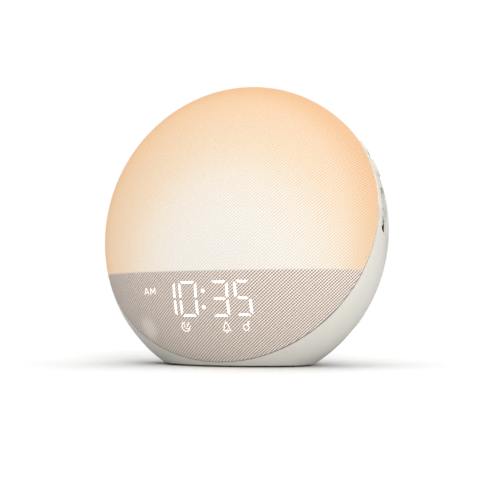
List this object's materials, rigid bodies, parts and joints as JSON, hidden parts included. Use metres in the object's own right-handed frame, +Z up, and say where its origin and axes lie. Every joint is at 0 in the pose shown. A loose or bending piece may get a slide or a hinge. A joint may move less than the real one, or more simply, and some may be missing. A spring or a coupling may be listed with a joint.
{
  "type": "sunrise alarm clock",
  "caption": "Pebble-shaped sunrise alarm clock: a lit cloth-covered dome in front, a moulded housing with side keys, a thumb dial, a rear speaker grille and a battery door behind.",
  "frame": {"origin": "on the table, in the middle of the clock's footprint as seen from above", "axes": "+X to the clock's left flank seen from behind, the right as seen from the front; -Y to the front, where the display is; +Z up"},
  "size_m": [0.1637, 0.0987, 0.1526],
  "materials": {
    "stretched_cloth": "fine woven polyester, stretched, warm white",
    "milky_plastic": "translucent milky acrylic",
    "white_plastic": "plain moulded white",
    "housing_plastic": "fine matt moulded, warm off-white",
    "black_plastic": "matt black",
    "white_board": "white solder resist on glass-fibre board",
    "green_board": "green solder resist on glass-fibre board",
    "lens": "clear yellow phosphor lens",
    "paper": "pressed dark cone",
    "steel": "bright zinc plate",
    "cell_jacket": "plain printed metal jacket, no marks",
    "grey_rubber": "soft grey"
  },
  "bodies": {
    "clock": {"fabric_cover": "stretched_cloth", "diffuser_dome": "milky_plastic", "fabric_hoop": "white_plastic", "front_frame": "white_plastic", "reflector_panel": "white_plastic", "led_board": "white_board", "glow_leds": "lens", "light_partition": "white_plastic", "display_mask": "black_plastic", "display_segments": "milky_plastic", "display_leds": "lens", "display_board": "green_board", "display_spacers": "white_plastic", "left_switches": "black_plastic", "left_key_board": "green_board", "right_switches": "black_plastic", "right_key_board": "green_board", "snooze_switch": "black_plastic", "snooze_board": "green_board", "key_board_screws": "steel", "dial_bracket": "white_plastic", "dial_screws": "steel", "dial_encoder": "black_plastic", "speaker_grille": "housing_plastic", "speaker_basket": "black_plastic", "speaker_screws": "steel", "speaker_cone": "paper", "speaker_magnet": "steel", "power_jack": "black_plastic", "jack_pin": "steel", "main_board": "green_board", "main_board_screws": "steel", "board_components": "black_plastic", "housing_screws": "steel", "battery_tray": "black_plastic", "battery_cells": "cell_jacket", "battery_contacts": "steel", "battery_springs": "steel", "rubber_feet": "grey_rubber", "rear_housing": "housing_plastic"},
    "right_upper_key": {"right_upper_key": "housing_plastic"},
    "right_lower_key": {"right_lower_key": "housing_plastic"},
    "left_upper_key": {"left_upper_key": "housing_plastic"},
    "left_lower_key": {"left_lower_key": "housing_plastic"},
    "snooze_bar": {"snooze_bar": "housing_plastic"},
    "dial": {"dial_wheel": "housing_plastic", "dial_shaft": "steel"},
    "battery_door": {"battery_door": "housing_plastic"}
  },
  "joints": [
    {"name": "right_upper_key_press", "type": "slide", "parent": "clock", "child": "right_upper_key", "axis": [-0.8625, -0.1355, -0.4876], "range_m": [0, 0.0007], "stiffness_N_per_m": 900, "springref_m": -0.0006},
    {"name": "right_lower_key_press", "type": "slide", "parent": "clock", "child": "right_lower_key", "axis": [-0.8625, -0.1355, -0.4876], "range_m": [0, 0.0007], "stiffness_N_per_m": 900, "springref_m": -0.0006},
    {"name": "left_upper_key_press", "type": "slide", "parent": "clock", "child": "left_upper_key", "axis": [0.8625, -0.1355, -0.4876], "range_m": [0, 0.0007], "stiffness_N_per_m": 900, "springref_m": -0.0006},
    {"name": "left_lower_key_press", "type": "slide", "parent": "clock", "child": "left_lower_key", "axis": [0.8625, -0.1355, -0.4876], "range_m": [0, 0.0007], "stiffness_N_per_m": 900, "springref_m": -0.0006},
    {"name": "snooze_bar_press", "type": "slide", "parent": "clock", "child": "snooze_bar", "axis": [0, -0.5229, -0.8524], "range_m": [0, 0.0007], "stiffness_N_per_m": 1100, "springref_m": -0.0006},
    {"name": "dial_turn", "type": "hinge", "parent": "clock", "child": "dial", "pos_m": [0.06715, -0.00241, 0.07988], "axis": [0, 0.9635, -0.2677], "continuous": true},
    {"name": "battery_door_swing", "type": "hinge", "parent": "clock", "child": "battery_door", "pos_m": [0, 0.0117, 0.0013], "axis": [1, 0, 0], "range_deg": [0, 75]}
  ]
}
